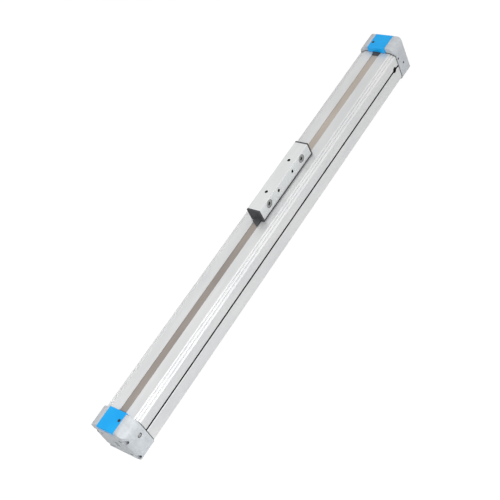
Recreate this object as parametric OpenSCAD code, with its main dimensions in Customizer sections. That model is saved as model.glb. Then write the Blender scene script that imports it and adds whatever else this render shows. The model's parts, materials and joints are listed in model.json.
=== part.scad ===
// Rodless pneumatic cylinder with a slotted barrel.
// The piston runs in the bore and drives the carriage through a slot along the top. An inner
// band seals the slot and an outer band covers it, and both part round the driver inside the
// carriage. X runs along the barrel, Z is up, and the origin is under the middle of the barrel
// on the plane that the end caps stand on.

/* [Stroke and overall size] */
// Travel of the carriage from one end to the other
stroke = 450; // [200:10:1200]
// Length over both end faces at zero stroke
dead_length = 300; // [290:1:340]
// Place of the carriage along the barrel, from the middle
carriage_rest = 58.4; // [-90:0.1:90]

/* [Barrel] */
// Bore of the barrel
bore_d = 40; // [38:0.5:41]
// Wall between the bore and each side face
side_wall = 11.5; // [10.5:0.1:13]
// Wall between the bore and the barrel's top
top_wall = 6.5; // [6:0.1:7.5]
// Wall between the bore and the barrel's underside
base_wall = 5.5; // [5:0.1:9]
// Width of each sloping shoulder beside the flat top
shoulder_w = 9.4; // [8:0.1:11]
// Drop from the flat top to the side face
shoulder_drop = 4.6; // [3:0.1:6]
// Radius of the fine grooves along the shoulders
shoulder_groove_r = 0.75; // [0.3:0.05:0.9]
// Radius of the barrel's lower corners
barrel_corner_r = 10; // [7:0.5:11]
// Height of the barrel's underside above the end caps' feet
foot_gap = 1; // [0.5:0.1:2]
// Width of the slot that the driver runs in
slot_w = 8; // [7:0.2:9]

/* [Slots for nuts and sensors] */
// Mouth of the sensor slot in each side
side_slot_mouth = 3; // [2:0.1:3.4]
// Chamfer along the lips of the sensor slot
side_slot_flare = 0.8; // [0.2:0.1:1]
// Width inside the sensor slot
side_slot_w = 5; // [4.4:0.2:6]
// Thickness of the sensor slot's lips
side_slot_lip = 1.6; // [1.2:0.1:2]
// Depth of the sensor slot from the side face
side_slot_depth = 4.6; // [3.6:0.1:5]
// Height of the sensor slot above the bore's axis
side_slot_rise = 3.8; // [3:0.1:6]
// Diameter of the round opening where slot nuts go in
slot_entry_d = 9.4; // [8:0.1:10]
// Distance of that opening from the barrel's end
slot_entry_x = 11; // [8:0.5:20]
// Mouth of each nut slot in the underside
base_slot_mouth = 5.2; // [4.6:0.1:5.6]
// Width inside the nut slots
base_slot_w = 9; // [8:0.1:9.6]
// Thickness of the nut slots' lips
base_slot_lip = 1.9; // [1.5:0.1:2.2]
// Depth of the nut slots from the underside
base_slot_depth = 6.3; // [6.2:0.1:6.8]
// Distance of each nut slot from the barrel's side
base_slot_inset = 14.5; // [13.5:0.1:15.5]

/* [Bands] */
// Width of the outer band
outer_band_w = 11.3; // [10.4:0.1:11.6]
// Thickness of the outer band
outer_band_t = 1; // [0.8:0.1:1.2]
// Width of the inner band
inner_band_w = 12; // [11:0.1:12.4]
// Thickness of the inner band
inner_band_t = 0.8; // [0.6:0.05:1]
// Play beside each band
band_play = 0.2; // [0.1:0.05:0.3]
// Depth of the outer band's face below the barrel's top
band_sink = 0.1; // [0.05:0.05:0.2]
// Length over which a band leaves or meets the barrel
band_ramp = 20; // [17:0.5:22]

/* [End caps] */
// Length of an end cap
cap_len = 30; // [29:0.5:32]
// How far the caps stand out beyond the barrel's sides
cap_rim = 1; // [0.5:0.1:2]
// Height of the caps above the barrel's top
cap_rise = 9; // [8:0.1:11]
// Radius of the cap's upper corners
cap_top_r = 16; // [14:0.5:17]
// Radius of the cap's lower corners
cap_low_r = 10; // [7:0.5:11]
// Radius that draws the cap's sides in towards the end face
cap_side_r = 11; // [9:0.5:16]
// Length over which the sides are drawn in
cap_side_len = 10; // [5:0.1:10.5]
// Radius that draws the cap's top in
cap_edge_r = 3; // [2:0.5:6]
// Length over which the top is drawn in
cap_edge_len = 2.6; // [1:0.1:3]
// Radius that draws the cap's underside in
cap_foot_r = 6; // [5:0.5:10]
// Length over which the underside is drawn in
cap_foot_len = 5.5; // [2:0.1:5.8]
// Thickness of the gasket between cap and barrel
gasket_t = 1.4; // [0.8:0.1:1.6]
// Length of the spigot that plugs the bore
spigot_len = 10; // [9:0.5:12]
// Distance of the body screws from the barrel's sides
screw_inset_y = 5; // [4.5:0.1:5.5]
// Distance of the body screws from the barrel's top and underside
screw_inset_z = 7.5; // [7:0.1:9]
// Nominal size of the body screws
body_screw_d = 5; // [4.6:0.1:5.2]
// Depth of the seats of the body screws' heads
body_screw_seat = 12; // [10:0.5:14]
// Length of a body screw under its head
body_screw_len = 40; // [35:1:60]
// Distance between the mounting threads across the end face
mount_pitch_y = 34; // [33:0.5:35]
// Distance between the mounting threads up the end face
mount_pitch_z = 33; // [32:0.5:34]
// Core diameter of the mounting threads
mount_core_d = 5; // [4.2:0.1:5.1]
// Depth of the mounting threads
mount_depth = 12; // [10:0.5:14]

/* [Air and cushioning] */
// Core diameter of the air ports
port_core_d = 11.8; // [8.6:0.1:12]
// Depth of the air ports
port_depth = 10; // [8:0.5:11]
// Diameter of the air passage
passage_d = 6.6; // [5:0.1:7]
// Outer diameter of the cushioning tube
cushion_tube_d = 12; // [11:0.1:12.6]
// How far the cushioning tube stands out of the spigot
cushion_reach = 20; // [14:0.5:21]
// Distance of the cushioning needle from the end face
needle_x = 20; // [19:0.5:21]
// Height of the cushioning needle above the bore's axis
needle_rise = 10.5; // [9.5:0.5:11.5]
// Diameter of the cushioning needle's thread
needle_d = 5; // [4.6:0.1:5.4]
// Diameter of the recess round the needle's head
needle_recess_d = 7.2; // [6.6:0.1:8]

/* [Band covers] */
// Width of a band cover
cover_w = 30.4; // [28:0.2:31]
// Thickness of a band cover
cover_t = 2.6; // [2.2:0.1:3]
// Depth of the cover's lip over the end face
cover_end_lip = 6.5; // [5:0.5:8]
// Thickness of the cover's lips
cover_lip_t = 1.7; // [1.4:0.1:1.8]
// Distance of the cover's screw from the end face
cover_screw_x = 19; // [18:0.5:21]
// Distance of the cover's screw from the middle
cover_screw_y = 11.3; // [11:0.1:12]

/* [Carriage] */
// Length of the carriage over its end covers
carriage_len = 135.5; // [125:0.5:150]
// Width of the carriage
carriage_w = 22.4; // [21:0.1:24]
// Height of the carriage above the barrel's top
carriage_top = 21.4; // [20:0.1:24]
// Gap between the carriage and the barrel's top
carriage_gap = 0.4; // [0.3:0.05:0.6]
// Bevel along the carriage's edges
carriage_bevel = 0.4; // [0.3:0.1:1]
// Thickness of the carriage's end covers
end_cover_t = 2.5; // [2:0.1:3]
// Length of the wiper tongue along its longer edge
tongue_len = 11; // [8:0.5:12]
// Length of the wiper tongue along its shorter edge
tongue_short = 4.5; // [3:0.5:6]
// Height of the strips along the carriage's lower edges
strip_h = 2.2; // [1.6:0.1:3.2]
// Thickness of those strips
strip_t = 1.2; // [1:0.1:1.4]
// Distance of the band rollers from the end covers' plugs
roller_inset = 8; // [6:0.5:10]
// Thickness of the driver's floor over the slot
driver_floor = 3.2; // [2.8:0.1:3.6]
// Distance of the threads in the carriage's top from its ends
top_thread_inset = 36.65; // [35:0.05:38]
// Distance between the threads in the carriage's sides
side_thread_pitch = 37.8; // [34:0.2:40]
// Distance of the side screws from the carriage's ends
side_screw_inset = 23.45; // [22:0.05:25]
// Depth of the side screws and threads below the carriage's top
side_hole_drop = 7.6; // [7:0.1:8.2]
// Core diameter of the carriage's threads
thread_core_d = 5; // [4:0.1:5.1]
// Depth of the carriage's threads
thread_depth = 8; // [5:0.5:10]
// Head diameter of the side screws
side_screw_head_d = 12; // [9:0.1:12.4]

/* [Piston] */
// Play of the yoke and the pistons in the bore
piston_play = 0.4; // [0.3:0.05:0.5]
// Play of the guide rings and seals in the bore
ring_play = 0.06; // [0.03:0.01:0.1]
// Width of a piston seal
seal_w = 3.6; // [3:0.1:4.4]
// Depth of a piston seal's groove
seal_depth = 3; // [2.6:0.1:3.4]
// Width of a guide ring
guide_w = 9; // [7:0.5:11]
// Thickness of a guide ring
guide_t = 1.6; // [1.2:0.1:2]
// Diameter of the pins that hold the pistons to the yoke
piston_pin_d = 4; // [3.4:0.1:4.4]
// Length of a sensor magnet
magnet_len = 16; // [12:1:20]
// Radius of a band roller
roller_r = 4; // [3.6:0.1:4.2]
// Width of a band roller
roller_w = 7.4; // [6:0.2:7.8]
// Diameter of a roller's pin
roller_pin_d = 2.5; // [2:0.1:2.8]

/* [Hidden] */

$fn = 48;
// Overlap of a cutting tool past the face that it cuts
past = 1;
// Clearance of parts that slide together by hand
fit = 0.1;
// Clearance between parts that move past each other
clear = 0.3;
// Play of a screw in its tapped hole
thread_play = 0.05;

// Sizes of the section that follow the bore
bore_r = bore_d / 2;
barrel_w = bore_d + 2 * side_wall;
barrel_h = base_wall + bore_d + top_wall;
plateau_w = barrel_w - 2 * shoulder_w;

// Levels up the section
plateau_z = foot_gap + barrel_h;
bore_z = foot_gap + base_wall + bore_r;
side_slot_z = bore_z + side_slot_rise;
cap_w = barrel_w + 2 * cap_rim;
cap_h = plateau_z + cap_rise;
slot_roof_z = bore_z + bore_r;
outer_band_z = plateau_z - band_sink - outer_band_t;
inner_band_z = slot_roof_z - inner_band_t;
band_flat_z = inner_band_z - clear;

// Stations along the barrel
end_x = (stroke + dead_length) / 2;
cap_inner_x = end_x - cap_len;
barrel_end_x = cap_inner_x - gasket_t;
spigot_end_x = barrel_end_x - spigot_len;
// Gap left between piston and spigot at the end of the stroke
end_gap = 0.5;
piston_half_len = spigot_end_x - stroke / 2 - end_gap;

// Places of the two fine grooves across each shoulder, as shares of its width
shoulder_marks = [0.27, 0.67];

// Carriage levels and stations, measured from its own middle
block_half = carriage_len / 2 - end_cover_t;
carriage_low_z = plateau_z + carriage_gap;
carriage_high_z = plateau_z + carriage_top;
floor_top_z = carriage_low_z + driver_floor;
// Gap between the driver and the lifted outer band, and over the band
band_gap = 0.4;
outer_band_rise = floor_top_z + band_gap - outer_band_z;
tunnel_roof_z = floor_top_z + 2 * band_gap + outer_band_t + clear;
tunnel_w = outer_band_w + 1;
// Length of the plug behind each end cover
cover_plug = 3;
guide_end = block_half - cover_plug - fit;
// Rollers that press the outer band down, inside the end covers
roller_x = guide_end - roller_inset;
roller_z = plateau_z - band_sink + clear + roller_r;
// The bands' ramps lie between the rollers and the driver, which fills the room between them
ramp_end = roller_x - roller_r - thread_play;
ramp_start = ramp_end - band_ramp;
driver_half = ramp_start - 5 * clear;
// The pocket at each end of the carriage holds the band guide
pocket_start = ramp_end - 12;
pocket_roof_z = carriage_high_z - 3.4;
side_hole_z = carriage_high_z - side_hole_drop;
side_screw_x = carriage_len / 2 - side_screw_inset;
top_thread_x = carriage_len / 2 - top_thread_inset;

// The driver's bridge sits on the yoke, and the inner band dips under it
bridge_share = 0.645;
bridge_low_z = bore_z + bridge_share * bore_r;
channel_w = inner_band_w + 1;
channel_depth = 3;
channel_z = bridge_low_z - channel_depth;
inner_band_low = bridge_low_z - inner_band_t - 2 * band_gap;
inner_band_dip = inner_band_z - inner_band_low;
yoke_half = ramp_end + 5;
piston_r = bore_r - piston_play;
neck_w = slot_w - 2 * clear;

// Tongue that ties each piston to the yoke
tongue_w = 16;
tongue_h = 14;
tongue_low_z = bore_z - 0.75 * tongue_h;
tie_len = 17;
piston_pin_x = yoke_half - tie_len / 2;

// Grooves in the pistons, from the piston's face
seal_at = 5;
guide_at = 16;
cushion_seal_w = 3;
cushion_seal_at = 1.5;
cushion_seal_t = 2.2;
cushion_bore_r = cushion_tube_d / 2 + 0.4;

// Clamp pocket under each band cover
pocket_w = 13.2;
clamp_len = 18;
clamp_back_x = cap_len - clamp_len - 1.5;
outer_band_end = 14;
inner_band_end = 17;
groove_floor_z = cap_h - cover_t - 0.1;
clamp_screw_x = cap_len - clamp_len / 2;
clamp_screw_r = 2;
clamp_screw_len = 5.5;
// Small sockets of grub screws, plugs and cover screws
small_key = 2;

// Heads of the body screws
socket_head_d = body_screw_d * 1.7;
socket_key = 4;
// Sinkings of the cover screws, and the depth of their holes in the caps
cover_screw_r = 1.25;
cover_screw_head_r = 2.2;
cover_screw_len = 7;
cover_screw_hole = 10;
// Level of the cover's lip in front of the cap, just over the barrel's top
front_lip_z = plateau_z + clear;
// Nose of the band clamp that stands out under that lip
nose_len = 4.6;
nose_t = 1.3;

// ---------- helpers ----------

// An outline drawn with x as Y and y as Z, run along X
module along_x(from_x, length)
    translate([from_x, 0, 0])
        rotate([90, 0, 90])
            linear_extrude(length)
                children();

// An outline drawn with x as X and y as Z, run across Y about the middle
module across_y(width)
    translate([0, width / 2, 0])
        rotate([90, 0, 0])
            linear_extrude(width)
                children();

// A round bar along X
module bar_x(from_x, length, r)
    translate([from_x, 0, 0])
        rotate([0, 90, 0])
            cylinder(r = r, h = length);

// A round bar along Y, from y = 0 towards +Y
module bar_y(length, r)
    rotate([-90, 0, 0])
        cylinder(r = r, h = length);

// A block centred across Y, between two stations along X and two levels
module slab(x0, x1, width, z0, z1)
    translate([x0, -width / 2, z0])
        cube([x1 - x0, width, z1 - z0]);

// Everything at the other end is the same part turned half round
module turned()
    rotate([0, 0, 180])
        children();

module on_carriage()
    translate([carriage_rest, 0, 0])
        children();

// The mirror image towards -X, for pieces that are made for the +X end
module other_end()
    mirror([1, 0, 0])
        children();

// A T-slot outline whose mouth is at the origin and which runs towards +y, with chamfered lips
module tee_slot(mouth, lip, width, depth, flare) {
    half = mouth / 2;
    translate([-half, -past])
        square([mouth, lip + 2 * past]);
    translate([-width / 2, lip])
        square([width, depth - lip]);
    polygon([[-half - flare - past, -past], [half + flare + past, -past],
             [half, flare], [-half, flare]]);
}

// A hexagon socket cut down from z = 0
module hex_key(key, depth)
    translate([0, 0, -depth])
        cylinder(d = key / cos(30), h = depth + past, $fn = 6);

// A smooth step from 0 to 1
function ease(t) = (1 - cos(180 * min(max(t, 0), 1))) / 2;

// How far a band is off its seat at station x, as a share of its full lift
function lift_at(x) = ease((ramp_end - abs(x)) / band_ramp);

// Stations that describe one band from end to end, close together on the ramps only
ramp_steps = 14;
function band_stations(reach) = concat(
    [-reach - carriage_rest],
    [for (i = [0 : ramp_steps]) -ramp_start - band_ramp * (1 - i / ramp_steps)],
    [for (i = [0 : ramp_steps]) ramp_start + band_ramp * i / ramp_steps],
    [reach - carriage_rest]
);

// Side view of a band that lies at level z and is lifted by rise round the driver
module band_outline(reach, z, thick, rise) {
    xs = band_stations(reach);
    top = [for (x = xs) [x, z + thick + rise * lift_at(x)]];
    bottom = [for (i = [len(xs) - 1 : -1 : 0]) [xs[i], z + rise * lift_at(xs[i])]];
    polygon(concat(top, bottom));
}

// ---------- barrel ----------

module barrel_outline() {
    half = barrel_w / 2;
    flat = plateau_w / 2;
    inner = half - barrel_corner_r;
    shoulder_z = plateau_z - shoulder_drop;
    knee_z = foot_gap + barrel_corner_r;
    polygon([
        [half, knee_z], [half, shoulder_z], [flat, plateau_z],
        [-flat, plateau_z], [-half, shoulder_z], [-half, knee_z]
    ]);
    translate([-inner, foot_gap])
        square([2 * inner, barrel_corner_r + past]);
    for (side = [-1, 1])
        translate([side * inner, knee_z])
            circle(r = barrel_corner_r);
}

// Fine grooves that leave three ridges along each shoulder
module shoulder_grooves()
    for (side = [-1, 1], mark = shoulder_marks)
        translate([
            side * (plateau_w / 2 + mark * (barrel_w - plateau_w) / 2),
            plateau_z - mark * shoulder_drop
        ])
            circle(r = shoulder_groove_r, $fn = 24);

module bore_outline() {
    translate([0, bore_z])
        circle(r = bore_r);
    seat_w = inner_band_w + 2 * band_play;
    translate([-seat_w / 2, bore_z])
        square([seat_w, bore_r]);
    translate([-slot_w / 2, bore_z])
        square([slot_w, plateau_z - bore_z + past]);
    recess_w = outer_band_w + 2 * band_play;
    translate([-recess_w / 2, outer_band_z])
        square([recess_w, plateau_z - outer_band_z + past]);
}

// The body screws: shank, clearance hole and counterbore
body_screw_r = body_screw_d / 2 - 0.4;
body_hole_r = body_screw_d / 2 + 0.25;
counterbore_r = socket_head_d / 2 + 0.2;

module screw_pattern()
    for (side = [-1, 1], level = [foot_gap + screw_inset_z, plateau_z - screw_inset_z])
        translate([side * (barrel_w / 2 - screw_inset_y), level])
            children();

base_slot_flare = 0.3;

module nut_slots() {
    for (side = [-1, 1]) {
        translate([side * barrel_w / 2, side_slot_z])
            rotate(side * 90)
                tee_slot(side_slot_mouth, side_slot_lip, side_slot_w, side_slot_depth,
                         side_slot_flare);
        translate([side * (barrel_w / 2 - base_slot_inset), foot_gap])
            tee_slot(base_slot_mouth, base_slot_lip, base_slot_w, base_slot_depth,
                     base_slot_flare);
    }
}

// Round opening in one side where slot nuts and sensors go in
slot_entry_depth = side_slot_depth + 3;

module slot_entry()
    translate([barrel_end_x - slot_entry_x, -barrel_w / 2 - past, side_slot_z + 1])
        bar_y(slot_entry_depth + past, slot_entry_d / 2);

module barrel() {
    color("gainsboro")
        difference() {
            along_x(-barrel_end_x, 2 * barrel_end_x)
                difference() {
                    barrel_outline();
                    shoulder_grooves();
                    bore_outline();
                    nut_slots();
                    screw_pattern()
                        circle(r = body_screw_r + thread_play);
                }
            slot_entry();
            turned()
                slot_entry();
        }
}

module outer_band() {
    color("rosybrown")
        on_carriage()
            across_y(outer_band_w)
                band_outline(cap_inner_x + outer_band_end, outer_band_z, outer_band_t,
                             outer_band_rise);
}

module inner_band() {
    color("silver")
        on_carriage()
            across_y(inner_band_w)
                band_outline(cap_inner_x + inner_band_end, inner_band_z, inner_band_t,
                             -inner_band_dip);
}

// ---------- end caps, drawn at the -X end ----------

// Section of the cap: larger corners above, smaller ones below
module cap_outline() {
    low_half = cap_w / 2 - cap_low_r;
    top_half = cap_w / 2 - cap_top_r;
    translate([-cap_w / 2, cap_low_r])
        square([cap_w, cap_h - cap_top_r - cap_low_r]);
    translate([-low_half, 0])
        square([2 * low_half, cap_low_r + past]);
    translate([-top_half, cap_h - cap_top_r - past])
        square([2 * top_half, cap_top_r + past]);
    for (side = [-1, 1]) {
        translate([side * low_half, cap_low_r])
            circle(r = cap_low_r);
        translate([side * top_half, cap_h - cap_top_r])
            circle(r = cap_top_r);
    }
}

// Waste outside an arc that draws an edge in towards the end face. The end face is at x = 0,
// and the side that is drawn in is at y = 0
module end_waste(r, length)
    difference() {
        translate([-past, -r])
            square([length + past, r + past]);
        translate([length, -r])
            circle(r = r);
    }

module cap_body()
    difference() {
        along_x(-end_x, cap_len)
            cap_outline();
        for (side = [0, 1])
            mirror([0, side, 0])
                translate([-end_x, cap_w / 2, -past])
                    linear_extrude(cap_h + 2 * past)
                        end_waste(cap_side_r, cap_side_len);
        translate([-end_x, 0, cap_h])
            across_y(cap_w + 2 * past)
                end_waste(cap_edge_r, cap_edge_len);
        translate([-end_x, 0, 0])
            mirror([0, 0, 1])
                across_y(cap_w + 2 * past)
                    end_waste(cap_foot_r, cap_foot_len);
    }

// The plug that closes the bore, flat on top where the inner band passes
module spigot() {
    intersection() {
        translate([0, 0, bore_z])
            bar_x(-cap_inner_x - past, gasket_t + spigot_len + past, bore_r - fit);
        slab(-end_x, 0, barrel_w, 0, inner_band_z);
    }
}

// Groove for the O-ring round the spigot
oring_r = 1.3;
oring_x = barrel_end_x - spigot_len / 2;
oring_mid_r = bore_r - fit - oring_r;

module oring_groove()
    translate([0, 0, bore_z])
        difference() {
            bar_x(-oring_x - oring_r - 0.4, 2 * oring_r + 0.8, bore_r + past);
            bar_x(-oring_x - 2 * oring_r, 4 * oring_r, oring_mid_r - oring_r - thread_play);
        }

// Needle's bore, its recess, and the drillings that let cushioned air past it
needle_z = bore_z + needle_rise;
needle_tip_y = 9;
needle_recess_depth = 3;
bypass_r = 1.2;

module needle_drillings() {
    x = -end_x + needle_x;
    translate([x, -cap_w / 2 - past, needle_z])
        bar_y(cap_w / 2 + past - needle_tip_y, needle_d / 2 + thread_play);
    translate([x, -cap_w / 2 - past, needle_z])
        bar_y(needle_recess_depth + past, needle_recess_d / 2);
    translate([0, -needle_tip_y - 2, needle_z])
        bar_x(x, end_x - needle_x - spigot_end_x + past, bypass_r);
    translate([x, -needle_tip_y - 1, needle_z])
        rotate([atan2(-(needle_z - bore_z), needle_tip_y + 1) - 90, 0, 0])
            cylinder(r = bypass_r, h = norm([needle_tip_y + 1, needle_z - bore_z]));
}

// Screwed plugs of the cross drillings, as distances from the end face and heights
drilling_inset = 3;
high_drilling_rise = 14.5;
low_drilling_drop = 0.7;
drilling_places = [
    [cap_len - drilling_inset, bore_z + high_drilling_rise],
    [0.6 * cap_len, bore_z - low_drilling_drop]
];
drilling_plug_r = 2;
drilling_plug_len = 2;
drilling_plug_sink = 1.2;
drilling_depth = drilling_plug_len + drilling_plug_sink + fit;

// How far the cushioning tube is let into the cap behind the gasket
tube_seat = 2;

module air_drillings() {
    translate([0, 0, bore_z]) {
        bar_x(-end_x - past, port_depth + past, port_core_d / 2);
        bar_x(-end_x, end_x - spigot_end_x + past, passage_d / 2);
        bar_x(-barrel_end_x - tube_seat, spigot_len + tube_seat + past,
              cushion_tube_d / 2 + thread_play);
    }
    translate([-end_x + cap_len / 2, 0, -past])
        cylinder(d = port_core_d, h = port_depth + past);
    translate([-end_x + cap_len / 2, 0, 0])
        cylinder(d = passage_d, h = bore_z);
}

module cap_screw_holes() {
    along_x(-end_x - past, cap_len + 2 * past)
        screw_pattern()
            circle(r = body_hole_r);
    along_x(-end_x - past, body_screw_seat + past)
        screw_pattern()
            circle(r = counterbore_r);
    along_x(-end_x - past, mount_depth + past)
        for (side = [-1, 1], row = [0, 1])
            translate([side * mount_pitch_y / 2, bore_z + (row - 0.5) * mount_pitch_z])
                circle(d = mount_core_d);
}

// Groove for the band cover, and the pocket where both bands are clamped
module cover_seat() {
    seat_w = cover_w + 2 * fit;
    slab(-end_x - past, -cap_inner_x + past, seat_w, groove_floor_z, cap_h + past);
    slab(-end_x - past, -end_x + cover_lip_t + fit, seat_w, cap_h - cover_end_lip - fit, cap_h);
    slab(-end_x + clamp_back_x, -cap_inner_x + past, pocket_w, inner_band_z, cap_h);
    translate([-end_x + cover_screw_x, -cover_screw_y, cap_h - cover_screw_hole])
        cylinder(r = cover_screw_r + thread_play, h = cover_screw_hole);
}

module end_cap() {
    color("silver")
        difference() {
            union() {
                cap_body();
                spigot();
            }
            oring_groove();
            needle_drillings();
            air_drillings();
            cap_screw_holes();
            cover_seat();
            for (place = drilling_places)
                translate([-end_x + place[0], cap_w / 2 - drilling_depth, place[1]])
                    bar_y(drilling_depth + past, drilling_plug_r + thread_play);
        }
}

module end_cap_left() end_cap();

module end_cap_right() turned() end_cap();

// Flat gasket between the cap and the end of the barrel
module cap_gasket() {
    color("dimgray")
        along_x(-cap_inner_x, gasket_t)
            difference() {
                offset(delta = -fit)
                    barrel_outline();
                bore_outline();
                screw_pattern()
                    circle(r = body_hole_r);
            }
}

module cap_gasket_left() cap_gasket();

module cap_gasket_right() turned() cap_gasket();

// O-ring round the spigot, pressed flat under the inner band
module cap_oring() {
    color("black")
        intersection() {
            translate([-oring_x, 0, bore_z])
                rotate([0, 90, 0])
                    rotate_extrude()
                        translate([oring_mid_r, 0])
                            circle(r = oring_r, $fn = 24);
            slab(-end_x, 0, barrel_w, 0, inner_band_z - thread_play);
        }
}

module cap_oring_left() cap_oring();

module cap_oring_right() turned() cap_oring();

// Hollow tube that dips into the piston and cushions the end of the stroke
module cushion_tube() {
    color("goldenrod")
        translate([0, 0, bore_z])
            difference() {
                bar_x(-barrel_end_x - tube_seat + fit,
                      spigot_len + tube_seat - fit + cushion_reach, cushion_tube_d / 2);
                bar_x(-end_x, end_x, passage_d / 2);
            }
}

module cushion_tube_left() cushion_tube();

module cushion_tube_right() turned() cushion_tube();

// Cover over the ends of the bands, with a lip at each end
module band_cover() {
    front_x = -cap_inner_x + fit + cover_lip_t;
    notch_w = 5;
    notch_h = 2;
    bevel = 1.4;
    color("dodgerblue")
        difference() {
            union() {
                slab(-end_x, front_x, cover_w, cap_h - cover_t, cap_h);
                slab(-end_x, -end_x + cover_lip_t, cover_w, cap_h - cover_end_lip, cap_h);
                slab(-cap_inner_x + fit, front_x, cover_w, front_lip_z, cap_h);
            }
            // Opening in the front lip for the nose of the clamp
            slab(-cap_inner_x, front_x + past, pocket_w + 2 * fit, front_lip_z - past,
                 plateau_z + nose_t + 2 * fit);
            translate([-end_x + cover_screw_x, -cover_screw_y, cap_h - cover_t - past]) {
                cylinder(r = cover_screw_r + 0.2, h = cover_t + 2 * past);
                translate([0, 0, 1 + past])
                    cylinder(r = cover_screw_head_r + 0.2, h = cover_t);
            }
            // Bevel where the top runs over to the end face
            translate([-end_x, 0, cap_h])
                rotate([0, 45, 0])
                    cube([bevel, cover_w + 2 * past, bevel], center = true);
            // Pull-off notch in the end lip
            slab(-end_x - past, -end_x + cover_lip_t + past, notch_w,
                 cap_h - cover_end_lip - past, cap_h - cover_end_lip + notch_h);
        }
}

module band_cover_left() band_cover();

module band_cover_right() turned() band_cover();

// Block that grips the outer band in its slit and holds the inner band down
module band_clamp() {
    color("black")
        difference() {
            union() {
                slab(-end_x + clamp_back_x + fit, -cap_inner_x - fit, pocket_w - 2 * fit,
                     slot_roof_z + thread_play, groove_floor_z - fit);
                slab(-cap_inner_x - fit - past, -cap_inner_x + nose_len, pocket_w - 2 * fit,
                     plateau_z + fit, plateau_z + nose_t);
            }
            slab(-end_x + cap_len - outer_band_end - fit, -cap_inner_x + past, pocket_w + past,
                 outer_band_z - thread_play, outer_band_z + outer_band_t + thread_play);
            translate([-end_x + clamp_screw_x, 0, outer_band_z])
                cylinder(r = clamp_screw_r + thread_play, h = cap_h);
        }
}

module band_clamp_left() band_clamp();

module band_clamp_right() turned() band_clamp();

module cover_screw() {
    head_h = 1.3;
    translate([-end_x + cover_screw_x, -cover_screw_y, cap_h - cover_t + 1 + thread_play])
        difference() {
            union() {
                cylinder(r = cover_screw_head_r, h = head_h);
                translate([0, 0, -cover_screw_len])
                    cylinder(r = cover_screw_r, h = cover_screw_len + past);
            }
            translate([0, 0, head_h])
                hex_key(small_key, 0.7 * head_h);
        }
}

module cover_screws() {
    color("dimgray") {
        cover_screw();
        turned()
            cover_screw();
    }
}

// Grub screw that presses the outer band into its clamp
module clamp_screw()
    translate([-end_x + clamp_screw_x, 0, outer_band_z + outer_band_t + thread_play])
        difference() {
            cylinder(r = clamp_screw_r, h = clamp_screw_len);
            translate([0, 0, clamp_screw_len])
                hex_key(small_key, small_key);
        }

module clamp_screws() {
    color("dimgray") {
        clamp_screw();
        turned()
            clamp_screw();
    }
}

// Socket head screw along X with its head towards -X, seated at x = 0
module socket_screw(shank_r, length, head_r, head_h, key)
    difference() {
        union() {
            bar_x(-head_h, head_h, head_r);
            bar_x(-past, length + past, shank_r);
        }
        translate([-head_h, 0, 0])
            rotate([0, -90, 0])
                hex_key(key, head_h * 0.6);
    }

module body_screw_set()
    for (side = [-1, 1], level = [foot_gap + screw_inset_z, plateau_z - screw_inset_z])
        translate([-end_x + body_screw_seat, side * (barrel_w / 2 - screw_inset_y), level])
            socket_screw(body_screw_r, body_screw_len, socket_head_d / 2, body_screw_d,
                         socket_key);

module body_screws() {
    color("dimgray") {
        body_screw_set();
        turned()
            body_screw_set();
    }
}

// Plug that closes the end port while the port in the underside is in use
plug_sink = 1;
plug_key = 5;

module port_plug()
    translate([-end_x + plug_sink, 0, bore_z])
        difference() {
            bar_x(0, port_depth - 2.5 * plug_sink, port_core_d / 2 - thread_play);
            rotate([0, -90, 0])
                hex_key(plug_key, 0.8 * plug_key);
        }

module port_plugs() {
    color("silver") {
        port_plug();
        turned()
            port_plug();
    }
}

module drilling_plug_set()
    for (place = drilling_places)
        translate([-end_x + place[0], cap_w / 2 - drilling_plug_sink, place[1]])
            rotate([-90, 0, 0])
                difference() {
                    translate([0, 0, -drilling_plug_len])
                        cylinder(r = drilling_plug_r, h = drilling_plug_len);
                    hex_key(small_key, 0.6 * small_key);
                }

module drilling_plugs() {
    color("dimgray") {
        drilling_plug_set();
        turned()
            drilling_plug_set();
    }
}

// Cushioning needle, drawn along +Y from its slotted head
needle_seal_at = 8;
needle_seal_r = 0.8;

needle_sink = 0.8;
needle_point = 4;
driver_slot = 1;

module needle() {
    head_y = needle_sink - cap_w / 2;
    body_len = -head_y - needle_tip_y - needle_point;
    translate([-end_x + needle_x, head_y, needle_z])
        difference() {
            rotate([-90, 0, 0]) {
                cylinder(r = needle_d / 2, h = body_len);
                translate([0, 0, body_len])
                    cylinder(r1 = 0.38 * needle_d, r2 = 0.1 * needle_d, h = 0.9 * needle_point);
            }
            translate([-needle_d, -past, -driver_slot / 2])
                cube([2 * needle_d, driver_slot + past, driver_slot]);
            translate([0, needle_seal_at - needle_seal_r - fit, 0])
                difference() {
                    bar_y(2 * needle_seal_r + 2 * fit, needle_d);
                    translate([0, -past, 0])
                        bar_y(2 * needle_seal_r + 2 * past, needle_d / 2 - 2 * needle_seal_r);
                }
        }
}

module needle_left() color("gray") needle();

module needle_right() color("gray") turned() needle();

module needle_seal() {
    color("black")
        translate([-end_x + needle_x, needle_sink - cap_w / 2 + needle_seal_at, needle_z])
            rotate([-90, 0, 0])
                rotate_extrude()
                    translate([needle_d / 2 - needle_seal_r, 0])
                        circle(r = needle_seal_r - thread_play / 2, $fn = 24);
}

module needle_seal_left() needle_seal();

module needle_seal_right() turned() needle_seal();

// ---------- carriage ----------

// End view of the block, with its lower edges set back for the strips
module block_outline() {
    half = carriage_w / 2;
    low = half - strip_t;
    strip_top = plateau_z + clear + strip_h;
    polygon([
        [low, carriage_low_z], [low, strip_top], [half, strip_top],
        [half, carriage_high_z - carriage_bevel], [half - carriage_bevel, carriage_high_z],
        [-half + carriage_bevel, carriage_high_z], [-half, carriage_high_z - carriage_bevel],
        [-half, strip_top], [-low, strip_top], [-low, carriage_low_z]
    ]);
}

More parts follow.
